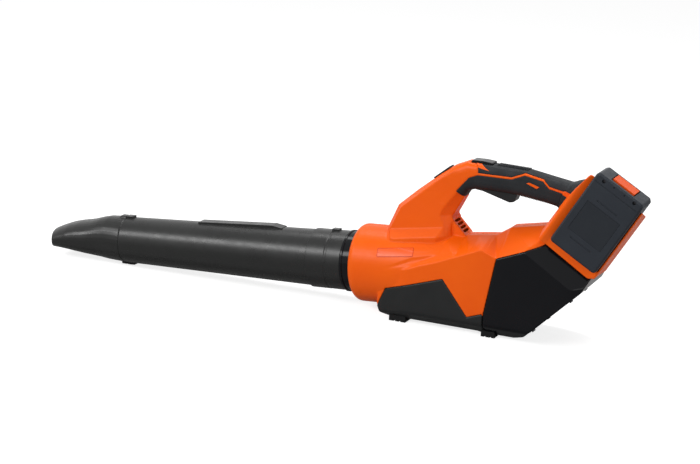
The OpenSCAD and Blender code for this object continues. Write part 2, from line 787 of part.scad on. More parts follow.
module trigger_pin_hole() cross_rod(pivot[0], pivot[1], pivot_r + 0.02, -pin_half - 0.1,
                                    pin_half + 0.1);

spring_x = 104;
spring_top = grip_low + 15.5;
spring_low = grip_low + 0.9;
module trigger_spring() color("#c8cacc") translate([spring_x, 0, spring_low])
    coil(3.2, 0.4, spring_top - spring_low, 6);

module trigger_switch() color("#1b1b1d") {
    difference() {
        block([98, 134], [-8, 8], [spring_top, spring_top + 12]);
        translate([spring_x, 0, spring_top - 1]) cylinder(h = 1.8, r = 2.4);
    }
    block([119, 127], [-3, 3], [grip_low + 1.4, spring_top + 0.5]);
}

turbo_x = [75, 106];
turbo_half = 9;
module turbo_slot() translate([0, 0, grip_top_z - 9])
    block([turbo_x[0] - gap, turbo_x[1] + gap], [-turbo_half - gap, turbo_half + gap], [0, 40]);

module turbo_button() color("#0c0c0f") {
    side_slab(rounded([
        [turbo_x[0], grip_top_z - 2, 0.5], [turbo_x[1], grip_top_z - 2, 0.5],
        [turbo_x[1], grip_top_z + 3.4, 1.5], [turbo_x[1] - 14, grip_top_z + 4.6, 30],
        [turbo_x[0], grip_top_z + 4.2, 2]]), -turbo_half, turbo_half);
    block([84, 97], [-5, 5], [grip_top_z - 6, grip_top_z - 1.9]);
}

module turbo_spring() color("#c8cacc") translate([80, 0, spring_top + 12.6])
    coil(2.6, 0.35, grip_top_z - 2.3 - spring_top - 12.6, 5);

module turbo_switch() color("#1b1b1d") difference() {
    block([76, 97], [-7, 7], [spring_top + 12.3 - 2.2, grip_top_z - 8.4]);
    translate([80, 0, spring_top + 12.6]) cylinder(h = 20, r = 3.6);
}

// ======================= fan and motor =======================
// cambered section of a blade or vane: chord along x, thickness across
function cambered(chord, rise, thick, steps = 5) =
    concat([for (i = [0 : steps]) let (t = i / steps)
               [chord * (t - 0.5), rise * 4 * t * (1 - t) + thick / 2 * sin(180 * t) + 0.25]],
           [for (i = [steps : -1 : 0]) let (t = i / steps)
               [chord * (t - 0.5), rise * 4 * t * (1 - t) - thick / 2 * sin(180 * t) - 0.25]]);

function turned_by(p, a) = [p[0] * cos(a) - p[1] * sin(a), p[0] * sin(a) + p[1] * cos(a)];

// blade that stands on the hub at the place s and leans from the angle a0 to a1
module blade(s, r0, r1, chord, a0, a1, levels = 4)
    loft([for (k = [0 : levels])
        let (t = k / levels, a = a0 + (a1 - a0) * t)
        [for (p = cambered(chord, 0.1 * chord, 0.075 * chord))
            let (q = turned_by([p[0], -p[1]], a)) [s + q[0], q[1], r0 + (r1 - r0) * t]]]);

module fan_duct() color("#2b2d30") on_axis() {
    difference() {
        union() {
            ring(duct_r + duct_wall, duct_r, duct_front_s, duct_rear_s);
            ring(bore_r - gap, duct_r, duct_front_s, duct_front_s + 3);
            ring(bore_r - gap, duct_r, duct_rear_s - 3, duct_rear_s);
        }
        translate([2.6, -3.4, duct_r - 1]) cube([8, 6.8, 6]);
        lead_notch();
    }
    ring(pod_r, motor_r + gap, pod_front_s, pod_rear_s);
    for (k = [0 : stator_vanes - 1]) rotate([360 * (k + 0.5) / stator_vanes, 0, 0])
        translate([-14, 0, pod_r - 0.8]) linear_extrude(duct_r - pod_r + 1)
            rotate(-14) polygon(cambered(36, 4, 2.2));
}

// way for the leads over the rear rings of duct and bell
module lead_notch() translate([duct_rear_s - 6, -0.8, duct_r + duct_wall + 0.2]) cube([20, 9.4, 10]);

module inlet_bell() color("#26282b") on_axis() difference() {
    turned([
        [duct_r, duct_rear_s + 0.1], [bore_r - gap, duct_rear_s + 0.1],
        [bore_r - gap, bell_rear_s - 2], [bore_r - 1.2, bell_rear_s],
        [duct_r + 2.5, bell_rear_s], [duct_r + 0.6, bell_rear_s - 4]
    ]);
    lead_notch();
}

module tail_cone() color("#2b2d30") on_axis() difference() {
    turned([[0, pod_front_s - 52], [4, pod_front_s - 51], [14, pod_front_s - 38],
            [21.5, pod_front_s - 20], [pod_r, pod_front_s - 0.1],
            [motor_r, pod_front_s - 0.1], [motor_r, pod_front_s + 4],
            [0, pod_front_s + 4]]);
    turned([[0, pod_front_s - 46], [10.5, pod_front_s - 36], [18, pod_front_s - 19],
            [motor_r - 2, pod_front_s], [motor_r - 2, pod_front_s + 5], [0, pod_front_s + 5]]);
}

module motor_can() color("#8d9094") on_axis() turned([
    [7, motor_front_s], [motor_r, motor_front_s], [motor_r, motor_rear_s - 2.6],
    [motor_r - 1.4, motor_rear_s - 2.6], [motor_r - 1.4, motor_front_s + 2],
    [9.5, motor_front_s + 2], [9.5, motor_front_s + 6], [6.53, motor_front_s + 6],
    [6.53, motor_front_s + 1], [7, motor_front_s + 1]
]);

module motor_end_bell() color("#8d9094") on_axis() turned([
    [7, motor_rear_s], [motor_r, motor_rear_s], [motor_r, motor_rear_s - 2.5],
    [9.5, motor_rear_s - 2.5], [9.5, motor_rear_s - 6], [6.53, motor_rear_s - 6],
    [6.53, motor_rear_s - 1], [7, motor_rear_s - 1]
]);

core_s = [motor_front_s + 11, motor_rear_s - 11];
teeth = 6;
module stator_core() color("#5a5c60") on_axis() {
    ring(motor_r - 1.45, motor_r - 4.2, core_s[0], core_s[1]);
    for (k = [0 : teeth - 1]) rotate([60 * k, 0, 0]) {
        block(core_s, [-2, 2], [12.4, motor_r - 3.5]);
        block(core_s, [-4.6, 4.6], [12.4, 13.9]);
    }
}

module windings() color("#b5602a") on_axis()
    for (k = [0 : teeth - 1]) rotate([60 * k, 0, 0]) difference() {
        block([core_s[0] - 3, core_s[1] + 3], [-4.2, 4.2], [14.1, 17.6]);
        block([core_s[0] - 0.2, core_s[1] + 0.2], [-2.15, 2.15], [13, 20]);
    }

module bearing(s) on_axis() {
    ring(6.5, 5.1, s, s + 4);
    ring(3.8, shaft_r + run_fit, s, s + 4);
    for (k = [0 : 6]) rotate([360 * k / 7, 0, 0]) translate([s + 2, 0, 4.45])
        sphere(r = 0.64, $fn = 24);
    ring(5.2, 3.7, s + 1.2, s + 1.3);
}

module bearing_front() color("#c9ccd0") bearing(motor_front_s + 1.3);

module bearing_rear() color("#c9ccd0") bearing(motor_rear_s - 5.6);

module motor_shaft() color("#c9ccd0") on_axis() {
    rod(shaft_r, motor_front_s + 0.8, hub_rear_s + 12);
}

module rotor_core() color("#3c3e42") on_axis() {
    difference() {
        union() {
            rod(10.4, core_s[0], core_s[1]);
            for (k = [0 : 3]) rotate([90 * k, 0, 0]) intersection() {
                block(core_s, [-6.5, 6.5], [9, 13]);
                rod(12, core_s[0], core_s[1]);
            }
        }
        rod(shaft_r + 0.01, core_s[0] - 1, core_s[1] + 1);
    }
}

module fan() color("#1f2124") on_axis() {
    difference() {
        union() {
            ring(hub_r, hub_r - 2.4, hub_front_s, hub_rear_s);
            ring(hub_r - 1, shaft_r + 2, hub_rear_s - 4, hub_rear_s - 1);
            rod(shaft_r + 4, hub_front_s, hub_rear_s - 1);
        }
        rod(shaft_r + 0.01, hub_front_s - 1, hub_rear_s + 1);
    }
    for (k = [0 : fan_blades - 1]) rotate([360 * k / fan_blades, 0, 0])
        blade((hub_front_s + hub_rear_s) / 2, hub_r - 2, sqrt(fan_r * fan_r - 100), 23, 38, 58);
}

module fan_nut() color("#9a9da1") on_axis() difference() {
    translate([hub_rear_s + 0.1, 0, 0]) rotate([0, 90, 0]) cylinder(h = 4, r = 4.6, $fn = 6);
    rod(shaft_r + 0.01, hub_rear_s - 1, hub_rear_s + 5);
}

module spinner() color("#1f2124") on_axis() {
    s = hub_rear_s + 0.1;
    turned(concat(
        [for (a = [0 : 10 : 90]) [hub_r * cos(a), s + spinner_len * sin(a)]],
        [for (a = [90 : -10 : 0]) [(hub_r - 2) * cos(a), s + (spinner_len - 2) * sin(a)]]));
}

// ======================= electronics =======================
board_y = floor_face + wall + 5;
module controller_board() color("#1e5a36") in_dock() {
    block([-30, 30], [board_y, board_y + 1.6], [-44, 18]);
    for (x = [-26, 26], z = [-40, 14]) translate([x, board_y, z]) rotate([90, 0, 0])
        cylinder(h = 4.7, r = 2.6, $fn = 32);
    for (x = [-18, 18]) translate([x, board_y + 1.6, -34]) rotate([-90, 0, 0])
        cylinder(h = 12, r = 5, $fn = 40);
}

module heat_sink() color("#a9acb0") in_dock() {
    block([-22, 22], [board_y + 1.7, board_y + 4.2], [-24, 12]);
    for (i = [0 : 7]) block([-22 + 6 * i, -20.6 + 6 * i], [board_y + 4.2, board_y + 14],
                            [-24, 12]);
}

// three leads that run inside the body from the controller to the fan duct
lead_path = [
    [237.3, 9.2, 160.8], [234, 12, 155.2], [227, 14, 143.1], [220.9, 14, 132.8],
    [206, 12, 127], [180, 8, 128], [150, 5, 130], [124, 4, 131], [96, 4, 129.2], [72, 4, 127.7],
    [44, 3, 127.8], [20, 2, 128.5], [8, 0, 128], [3.6, 0, 124.5], [3.4, 0, 119.8]
];
module motor_leads() color("#2a2a2c") for (k = [-1 : 1]) translate([0, 2.2 * k, 0])
    loft([for (i = [0 : len(lead_path) - 1])
        let (a = lead_path[max(0, i - 1)], b = lead_path[min(len(lead_path) - 1, i + 1)],
             d = unit(b - a), u = unit(cross(d, [0, 1, 0])))
        [for (j = [7 : -1 : 0]) lead_path[i] + u * cos(45 * j) + [0, sin(45 * j), 0]]]);

// ======================= dock and battery =======================
plate_head = 29;
plate_stem = 25;
plate_low = -50;
plate_high = dock_rim - 17.5;
tongue_low = dock_rim - 26;
module terminal_plate() color("#121214") in_dock() difference() {
    union() {
        block([-plate_stem, plate_stem], [-9, floor_face - 0.1], [plate_low, plate_high]);
        block([-plate_head, plate_head], [-13.6, -9], [plate_low, plate_high]);
    }
    for (x = [-17, -7, 7, 17]) block([x - 2, x + 2], [-15, -7], [-30, plate_low + 60]);
    block([-10.5, 10.5], [-15, -9.6], [tongue_low - 0.6, tongue_low + 5.1]);
}

blade_tip = pack_in - 6;
module terminal_blades() color("#c8a24a") in_dock()
    for (x = [-17, -7, 7, 17]) block([x - 0.4, x + 0.4], [blade_tip, -7.1], [-20, 4]);

case_split = pack_in - 19;
case_wall = 2.2;
pack_side = [
    [-pack_w / 2, -pack_len / 2, 5], [pack_w / 2, -pack_len / 2, 5],
    [pack_w / 2, pack_len / 2 - 4, 4], [pack_w / 2 - 4, pack_len / 2, 3],
    [-pack_w / 2 + 4, pack_len / 2, 3], [-pack_w / 2, pack_len / 2 - 4, 4]
];
pack_screw_places = [[-24, pack_len / 2 - 6.5], [25, pack_len / 2 - 5]];

module pack_form() in_dock()
    bevelled_slab(rounded(pack_side), pack_out, pack_in, 2.4);

module pack_hollow() in_dock() {
    inside = grown(rounded(pack_side), -case_wall);
    side_slab(inside, pack_out + case_wall, pack_in - case_wall);
}

module latch_window() in_dock() {
    block([-19, 19], [pack_out + 7, pack_in - 6], [pack_len / 2 - 4, pack_len / 2 + 1]);
    block([-10.5, 10.5], [pack_in - 25, pack_in - case_wall], [pack_len / 2 - 6, pack_len / 2 - 3]);
    block([-9.6, 9.6], [pack_in - 3, pack_in + 1], [tongue_low - 0.6, tongue_low + 5.1]);
}

module pack_bosses() in_dock() for (p = pack_screw_places)
    translate([p[0], pack_in - 0.5, p[1]]) rotate([90, 0, 0])
        cylinder(h = pack_t - 1, r = 3.6, $fn = 40);

module pack_screw_holes() in_dock() for (p = pack_screw_places)
    translate([p[0], pack_in - 6, p[1]]) rotate([90, 0, 0]) {
        cylinder(h = pack_t + 5, r = 1.6, $fn = 32);
        translate([0, 0, 34]) cylinder(h = 20, r = 2.6, $fn = 40);
    }

module pack_case_outer() color("#2f333b") difference() {
    intersection() {
        union() {
            difference() {
                pack_form();
                pack_hollow();
            }
            pack_bosses();
        }
        in_dock() block([-far, far], [-far, case_split], [-far, far]);
    }
    latch_window();
    pack_screw_holes();
    in_dock() {
        block([-17, 17], [pack_out - 1, pack_out + 0.9], [25.4, 27.4]);
        block([-17, 17], [pack_out - 1, pack_out + 0.9], [-38, -36]);
        block([-pack_w, pack_w], [pack_out - 1, pack_out + 0.6], [46.5, 47.5]);
        block([-27, 27], [pack_out - 1, pack_out + 0.5], [-29, 19]);
        for (x = [-8, 9]) translate([x, pack_out + 1.5, pack_len / 2 - 4.9]) rotate([90, 0, 0])
            cylinder(h = 3, r = 1.3, $fn = 24);
        for (x = [-27, -9, 9, 27]) block([x - 2, x + 2], [pack_out - 1, pack_out + 1.2],
                                         [-far, -pack_len / 2 + 1.6]);
    }
}

module pack_case_inner() color("#23262c") difference() {
    union() {
        intersection() {
            union() {
                difference() {
                    pack_form();
                    pack_hollow();
                }
                pack_bosses();
            }
            in_dock() block([-far, far], [case_split + 0.05, far], [-far, far]);
        }
        in_dock() for (side = [0, 1]) mirror([side, 0, 0]) {
            block([plate_head + gap, plate_head + 3.4], [pack_in - 1, floor_face - 0.5],
                  [plate_low + 2, plate_high - 4]);
            block([plate_stem + gap, plate_head + 1], [-8.7, floor_face - 0.5],
                  [plate_low + 2, plate_high - 4]);
        }
    }
    latch_window();
    pack_screw_holes();
    in_dock() for (x = [-17, -7, 7, 17])
        block([x - 1.4, x + 1.4], [blade_tip - 0.6, pack_in + 1], [-far, 8]);
}

cell_r = 9.1;
cell_pitch = 19.4;
cell_y = pack_out + case_wall + cell_r + 2;
module pack_cells() color("#4a8f5a") in_dock() for (i = [0 : 4])
    translate([-32.5, cell_y, (i - 2) * cell_pitch - 3]) rotate([0, 90, 0])
        cylinder(h = 65, r = cell_r, $fn = 64);

module cell_frame() color("#e3e0d6") in_dock() difference() {
    for (x = [-27, 20]) block([x, x + 7], [pack_out + case_wall + 0.3, cell_y + cell_r + 2.5],
                              [-53.6, 47.6]);
    for (i = [0 : 4]) translate([-40, cell_y, (i - 2) * cell_pitch - 3]) rotate([0, 90, 0])
        cylinder(h = 80, r = cell_r + 0.1, $fn = 64);
    for (p = pack_screw_places)
        translate([p[0], 0, p[1]]) rotate([90, 0, 0])
            cylinder(h = 100, r = 4, $fn = 40);
}

module bus_strips() color("#d2d4d6") in_dock() for (side = [-1, 1], i = [0 : 1])
    block(side > 0 ? [32.6, 33] : [-33, -32.6], [cell_y - 4, cell_y + 4],
          [(2 * i - 2 + (side > 0 ? 0 : 1)) * cell_pitch - 8,
           (2 * i - 1 + (side > 0 ? 0 : 1)) * cell_pitch + 2]);

module pack_board() color("#1e5a36") in_dock() {
    block([-22, 22], [cell_y + cell_r + 2.6, cell_y + cell_r + 4.2], [-44, 15]);
    for (x = [-17, -7, 7, 17]) for (e = [-1, 1])
        block([x + e * 1 - 0.3, x + e * 1 + 0.3], [cell_y + cell_r + 4.2, pack_in + 0.4],
              [-22, 6]);
}

module pack_screws() color("#2c2c2e") in_dock() for (p = pack_screw_places)
    translate([p[0], pack_in - 7, p[1]]) rotate([90, 0, 0]) {
        cylinder(h = 34.5, r = 1.35, $fn = 32);
        translate([0, 0, 33.2]) cylinder(h = 2, r = 2.3, $fn = 32);
    }

module pack_label() color("#1a1c20") in_dock()
    block([-26.5, 26.5], [pack_out + 0.1, pack_out + 0.48], [-28.5, 18.5]);

module latch_button() color("#ff6a20") in_dock() {
    block([-17.5, 17.5], [pack_out + 12.5, pack_in - 7.5], [pack_len / 2 - 3, pack_len / 2 + 0.8]);
    block([-9.5, 9.5], [pack_in - 18.5, pack_in - 8], [tongue_low, pack_len / 2 - 2.9]);
    block([-9, 9], [pack_in - 8.5, pack_in + 3.4], [tongue_low, tongue_low + 4.5]);
}

module latch_spring() color("#c8cacc") in_dock()
    translate([0, pack_in - 18.7, pack_len / 2 - 8]) rotate([90, 0, 0])
        coil(2.2, 0.3, pack_t - case_wall - 18.9, 8);

nozzle();
blower_tube();
outlet_connector();
housing_left();
housing_right();
front_cover();
intake_shell();
intake_grille();
grille_screws();
housing_screws();
foot_strips();
grip_top();
grip_under();
slope_inlay();
trigger();
trigger_pin();
trigger_spring();
trigger_switch();
turbo_button();
turbo_spring();
turbo_switch();
fan_duct();
inlet_bell();
tail_cone();
motor_can();
motor_end_bell();
stator_core();
windings();
bearing_front();
bearing_rear();
motor_shaft();
rotor_core();
fan();
fan_nut();
spinner();
controller_board();
heat_sink();
motor_leads();
terminal_plate();
terminal_blades();
pack_case_outer();
pack_case_inner();
pack_cells();
cell_frame();
bus_strips();
pack_board();
pack_screws();
pack_label();
latch_button();
latch_spring();
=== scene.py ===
"""Looks of a handheld cordless leaf blower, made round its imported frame.

The blow tube points along -X, the battery is at +X, and the blower stands on its feet at z = 0.
"""
import json
import math

import bpy
from mathutils import Matrix, Vector

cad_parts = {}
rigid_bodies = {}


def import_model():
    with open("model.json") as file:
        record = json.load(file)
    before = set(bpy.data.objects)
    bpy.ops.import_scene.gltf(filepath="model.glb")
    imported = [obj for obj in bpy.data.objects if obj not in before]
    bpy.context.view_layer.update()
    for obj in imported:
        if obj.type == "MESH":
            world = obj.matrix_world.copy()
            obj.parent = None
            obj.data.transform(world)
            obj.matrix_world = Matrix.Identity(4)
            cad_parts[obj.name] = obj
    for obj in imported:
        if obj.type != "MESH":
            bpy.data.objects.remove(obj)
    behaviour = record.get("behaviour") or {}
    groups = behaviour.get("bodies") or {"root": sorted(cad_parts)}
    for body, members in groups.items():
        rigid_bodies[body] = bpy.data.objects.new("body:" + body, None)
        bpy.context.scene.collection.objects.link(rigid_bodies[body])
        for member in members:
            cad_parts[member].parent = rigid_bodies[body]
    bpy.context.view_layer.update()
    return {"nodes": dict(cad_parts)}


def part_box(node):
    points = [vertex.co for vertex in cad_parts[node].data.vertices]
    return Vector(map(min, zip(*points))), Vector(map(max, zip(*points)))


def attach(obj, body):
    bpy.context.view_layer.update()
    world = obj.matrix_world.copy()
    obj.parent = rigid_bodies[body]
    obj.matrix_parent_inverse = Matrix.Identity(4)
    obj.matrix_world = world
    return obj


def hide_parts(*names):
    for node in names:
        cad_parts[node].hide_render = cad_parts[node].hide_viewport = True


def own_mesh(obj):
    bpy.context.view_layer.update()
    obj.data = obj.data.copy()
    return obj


MM = 0.001

# round barrel of the housing, in millimetres
barrel_radius = 56.5
barrel_axis_height, barrel_axis_rise = 71.0, 0.0655
# the dock leans back by this angle about the middle of the pack; its lip grows outwards
dock_lean = math.radians(30.4)
dock_x, dock_z = 273, 188
lip_inside, lip_growth = 38.9, 1.5
# pocket of the turbo button in the handle's top, and how far its walls move out
pocket_front, pocket_rear, pocket_half, pocket_floor = 74.7, 106.3, 9.3, 226
pocket_ease = 0.4
# plates behind thin places, and how deep the shoulder's plate lies
plate_thickness, plate_sunk = 2.2, 1.5
# a skin with more triangles than this is thinned
most_triangles = 190000

for leftover in list(bpy.data.objects):
    bpy.data.objects.remove(leftover)
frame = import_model()
scene = bpy.context.scene
nodes = frame["nodes"]
slot_of = {name: node.material_slots[0].material.name for name, node in nodes.items()}
for bought in list(bpy.data.materials):
    bpy.data.materials.remove(bought)


# ---------------------------------------------------------------- small tools
def rest_selection():
    """Leaves edit mode and deselects everything."""
    if bpy.context.object and bpy.context.object.mode != "OBJECT":
        bpy.ops.object.mode_set(mode="OBJECT")
    bpy.ops.object.select_all(action="DESELECT")


def take(piece):
    """Selects one piece and makes it active."""
    rest_selection()
    piece.select_set(True)
    bpy.context.view_layer.objects.active = piece


def pick_faces(piece, wanted):
    """Selects the faces whose centre and normal pass the test, and goes to edit mode."""
    take(piece)
    bpy.ops.object.mode_set(mode="EDIT")
    bpy.ops.mesh.select_mode(type="FACE")
    bpy.ops.mesh.select_all(action="DESELECT")
    bpy.ops.object.mode_set(mode="OBJECT")
    for face in piece.data.polygons:
        face.select = wanted(face.center, face.normal)
    bpy.ops.object.mode_set(mode="EDIT")


def settle(piece):
    """Puts the piece's place into its mesh, so that its object sits at the origin."""
    take(piece)
    bpy.ops.object.transform_apply(location=True, rotation=True, scale=True)


def modify(piece, kind, **settings):
    """Adds a modifier with these settings and applies it."""
    take(piece)
    step = piece.modifiers.new(kind.title(), kind)
    for name, value in settings.items():
        setattr(step, name, value)
    bpy.ops.object.modifier_apply(modifier=step.name)


def smooth(piece, angle):
    """Shades a piece smooth up to an angle in degrees."""
    take(piece)
    bpy.ops.object.shade_smooth_by_angle(angle=math.radians(angle))


def fit_out(piece, name, body, finish):
    """Names a piece, gives it its finish and hangs it on its body."""
    piece.name = name
    piece.data.name = name
    piece.data.materials.clear()
    piece.data.materials.append(finish)
    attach(piece, body)


def copy_of(node):
    """A merged copy of a node's mesh as a piece of its own."""
    piece = bpy.data.objects.new(node + "_copy", nodes[node].data.copy())
    scene.collection.objects.link(piece)
    take(piece)
    bpy.ops.object.mode_set(mode="EDIT")
    bpy.ops.mesh.select_all(action="SELECT")
    bpy.ops.mesh.remove_doubles(threshold=0.000002)
    bpy.ops.mesh.customdata_custom_splitnormals_clear()
    bpy.ops.object.mode_set(mode="OBJECT")
    return piece


# ---------------------------------------------------------------- finishes
class Finish:
    """A procedural material that is built up socket by socket."""

    def __init__(self, name, colour, rough, metal=0.0, specular=0.5):
        self.made = bpy.data.materials.new(name)
        self.made.use_nodes = True
        self.tree = self.made.node_tree
        self.shader = self.tree.nodes["Principled BSDF"]
        self.colour = colour
        self.shader.inputs["Base Color"].default_value = (*colour, 1)
        self.shader.inputs["Roughness"].default_value = rough
        self.shader.inputs["Metallic"].default_value = metal
        self.shader.inputs["Specular IOR Level"].default_value = specular
        self.places = self.tree.nodes.new("ShaderNodeTexCoord").outputs["Object"]
        self.normal = None

    def add(self, kind, **settings):
        """A new shader node with these settings."""
        node = self.tree.nodes.new(kind)
        for name, value in settings.items():
            setattr(node, name, value)
        return node

    def stretched(self, scale):
        """Object coordinates scaled by axis, for grain that runs one way."""
        step = self.add("ShaderNodeMapping")
        step.inputs["Scale"].default_value = scale
        self.tree.links.new(self.places, step.inputs["Vector"])
        return step.outputs["Vector"]

    def noise(self, scale, detail=2.0, rough=0.5, stretch=None):
        """Cloudy pattern."""
        step = self.add("ShaderNodeTexNoise")
        step.inputs["Scale"].default_value = scale
        step.inputs["Detail"].default_value = detail
        step.inputs["Roughness"].default_value = rough
        places = self.stretched(stretch) if stretch else self.places
        self.tree.links.new(places, step.inputs["Vector"])
        return step.outputs["Fac"]

    def cells(self, scale):
        """Pebbled pattern."""
        step = self.add("ShaderNodeTexVoronoi", feature="F1")
        step.inputs["Scale"].default_value = scale
        self.tree.links.new(self.places, step.inputs["Vector"])
        return step.outputs["Distance"]

    def waves(self, scale, axis):
        """Even bands across an axis."""
        step = self.add("ShaderNodeTexWave", wave_type="BANDS", bands_direction=axis)
        step.inputs["Scale"].default_value = scale
        self.tree.links.new(self.places, step.inputs["Vector"])
        return step.outputs["Fac"]

    def span(self, factor, low, high, start=0.3, end=0.7):
        """Maps a pattern onto a range of numbers."""
        step = self.add("ShaderNodeMapRange")
        step.inputs["From Min"].default_value = start
        step.inputs["From Max"].default_value = end
        step.inputs["To Min"].default_value = low
        step.inputs["To Max"].default_value = high
        self.tree.links.new(factor, step.inputs["Value"])
        return step.outputs["Result"]

    def tint(self, factor, other, start=0.3, end=0.7):
        """Lets the colour wander towards another one with a pattern."""
        step = self.add("ShaderNodeMix", data_type="RGBA")
        socket = self.shader.inputs["Base Color"]
        if socket.links:
            self.tree.links.new(socket.links[0].from_socket, step.inputs[6])
        else:
            step.inputs[6].default_value = (*self.colour, 1)
        step.inputs[7].default_value = (*other, 1)
        self.tree.links.new(self.span(factor, 0.0, 1.0, start, end), step.inputs[0])
        self.tree.links.new(step.outputs[2], socket)

    def sheen_of(self, factor, low, high, start=0.3, end=0.7):
        """Lets the roughness wander between two values."""
        spread = self.span(factor, low, high, start, end)
        self.tree.links.new(spread, self.shader.inputs["Roughness"])

    def bump(self, height, strength, depth):
        """Adds relief on top of what is there."""
        step = self.add("ShaderNodeBump")
        step.inputs["Strength"].default_value = strength
        step.inputs["Distance"].default_value = depth
        self.tree.links.new(height, step.inputs["Height"])
        if self.normal:
            self.tree.links.new(self.normal, step.inputs["Normal"])
        self.normal = step.outputs["Normal"]

    def soft_edges(self, radius):
        """Rounds the look of hard edges, as a moulding tool leaves them."""
        step = self.add("ShaderNodeBevel", samples=6)
        step.inputs["Radius"].default_value = radius
        self.normal = step.outputs["Normal"]

    def done(self):
        """Ties the relief to the shader and hands the material over."""
        if self.normal:
            self.tree.links.new(self.normal, self.shader.inputs["Normal"])
        return self.made


def moulded(name, colour, other, rough, grain, depth, edges, specular=0.5):
    """Injection moulded plastic: soft edges, fine spark grain and a faint cloudiness."""
    f = Finish(name, colour, rough, specular=specular)
    f.soft_edges(edges)
    f.bump(f.noise(grain, 3.0, 0.6), 0.35, depth)
    f.bump(f.noise(45, 2.0, 0.5), 0.12, 0.0004)
    f.tint(f.noise(14, 3.0, 0.55), other, 0.35, 0.75)
    f.sheen_of(f.noise(60, 4.0, 0.65), rough * 0.82, rough * 1.22)
    return f


def metal(name, colour, other, rough, grain_scale=900, stretch=(1, 1, 1), edges=0.0002):
    """Machined or drawn metal with fine directional marks."""
    f = Finish(name, colour, rough, metal=1.0)
    f.soft_edges(edges)
    f.bump(f.noise(grain_scale, 3.0, 0.6, stretch), 0.25, 0.00004)
    f.tint(f.noise(70, 4.0, 0.6), other, 0.4, 0.8)
    f.sheen_of(f.noise(160, 4.0, 0.6), rough * 0.75, rough * 1.3)
    return f


orange_shell = moulded("orange_shell", (0.9, 0.118, 0.0022), (0.85, 0.1, 0.002), 0.36,
                       2600, 0.00003, 0.0009, specular=0.16).done()
tube_black = moulded("tube_black", (0.0078, 0.008, 0.0078), (0.0105, 0.0108, 0.0105), 0.3,
                     1500, 0.00006, 0.0006, specular=0.36)
tube_black.bump(tube_black.noise(30, 3.0, 0.6, (0.12, 1, 1)), 0.1, 0.0005)
tube_black = tube_black.done()
gloss_black = moulded("gloss_black", (0.003, 0.0033, 0.0048), (0.0042, 0.0046, 0.0062), 0.12,
                      3200, 0.00001, 0.0014, specular=0.17).done()
cover_black = moulded("cover_black", (0.0115, 0.0125, 0.0128), (0.0155, 0.0165, 0.017), 0.36,
                      1900, 0.00005, 0.0012, specular=0.22).done()
inner_plastic = moulded("inner_plastic", (0.012, 0.013, 0.014), (0.018, 0.019, 0.021), 0.45,
                        1400, 0.00005, 0.0004, specular=0.25).done()
pack_grey = moulded("pack_grey", (0.0205, 0.0245, 0.032), (0.025, 0.03, 0.038), 0.47,
                    1300, 0.00008, 0.0009, specular=0.2).done()
latch_orange = moulded("latch_orange", (0.93, 0.11, 0.01), (0.88, 0.095, 0.008), 0.4,
                       2400, 0.00003, 0.0006, specular=0.12).done()
frame_plastic = moulded("frame_plastic", (0.045, 0.047, 0.05), (0.06, 0.062, 0.066), 0.5,
                        900, 0.00006, 0.0004, specular=0.3).done()
cell_wrap = moulded("cell_wrap", (0.03, 0.16, 0.33), (0.026, 0.14, 0.3), 0.28,
                    800, 0.00002, 0.0003).done()
wire_jacket = moulded("wire_jacket", (0.02, 0.02, 0.021), (0.03, 0.03, 0.031), 0.5,
                      700, 0.00005, 0.0003, specular=0.3).done()
board_green = moulded("board_green", (0.012, 0.075, 0.03), (0.009, 0.055, 0.022), 0.32,
                      500, 0.00003, 0.0002).done()
label_film = moulded("label_film", (0.0165, 0.02, 0.026), (0.0145, 0.0178, 0.0235), 0.4,
                     2800, 0.00002, 0.0003, specular=0.24).done()
foot_rubber = moulded("foot_rubber", (0.007, 0.007, 0.0075), (0.011, 0.011, 0.0115), 0.6,
                      700, 0.00012, 0.0009, specular=0.18).done()

soft_grip = Finish("soft_grip", (0.013, 0.0155, 0.018), 0.6, specular=0.2)
soft_grip.soft_edges(0.001)
soft_grip.bump(soft_grip.cells(900), 0.3, 0.00012)
soft_grip.bump(soft_grip.noise(160, 3.0, 0.6), 0.15, 0.0002)
soft_grip.tint(soft_grip.noise(40, 4.0, 0.6), (0.019, 0.022, 0.025), 0.4, 0.75)
soft_grip.sheen_of(soft_grip.noise(90, 3.0, 0.6), 0.52, 0.7)
soft_grip = soft_grip.done()

steel = metal("steel", (0.56, 0.57, 0.58), (0.46, 0.47, 0.49), 0.28, stretch=(4, 1, 1)).done()
black_steel = metal("black_steel", (0.045, 0.045, 0.05), (0.07, 0.07, 0.075), 0.36).done()
spring_steel = metal("spring_steel", (0.48, 0.48, 0.49), (0.38, 0.37, 0.36), 0.24,
                     stretch=(1, 1, 6)).done()
aluminium = metal("aluminium", (0.66, 0.67, 0.68), (0.58, 0.59, 0.6), 0.34,
                  stretch=(1, 5, 1)).done()
copper = metal("copper", (0.72, 0.3, 0.14), (0.6, 0.22, 0.1), 0.3, 1500, (1, 6, 6)).done()
contact_brass = metal("contact_brass", (0.72, 0.55, 0.25), (0.62, 0.45, 0.2), 0.27).done()

lamination = Finish("lamination", (0.3, 0.3, 0.31), 0.42, metal=1.0)
lamination.bump(lamination.waves(420, "X"), 0.5, 0.0001)
lamination.tint(lamination.noise(90, 4.0, 0.6), (0.2, 0.2, 0.21), 0.4, 0.7)
lamination.sheen_of(lamination.noise(150), 0.34, 0.5)
lamination = lamination.done()

finishes = {made.name: made for made in (
    orange_shell, tube_black, gloss_black, cover_black, inner_plastic, pack_grey, latch_orange,
    frame_plastic, cell_wrap, wire_jacket, board_green, label_film, foot_rubber, soft_grip,
    steel, black_steel, spring_steel, aluminium, copper, contact_brass, lamination,
)}
for name, node in nodes.items():
    node.data.materials.clear()
    node.data.materials.append(finishes[slot_of[name]])


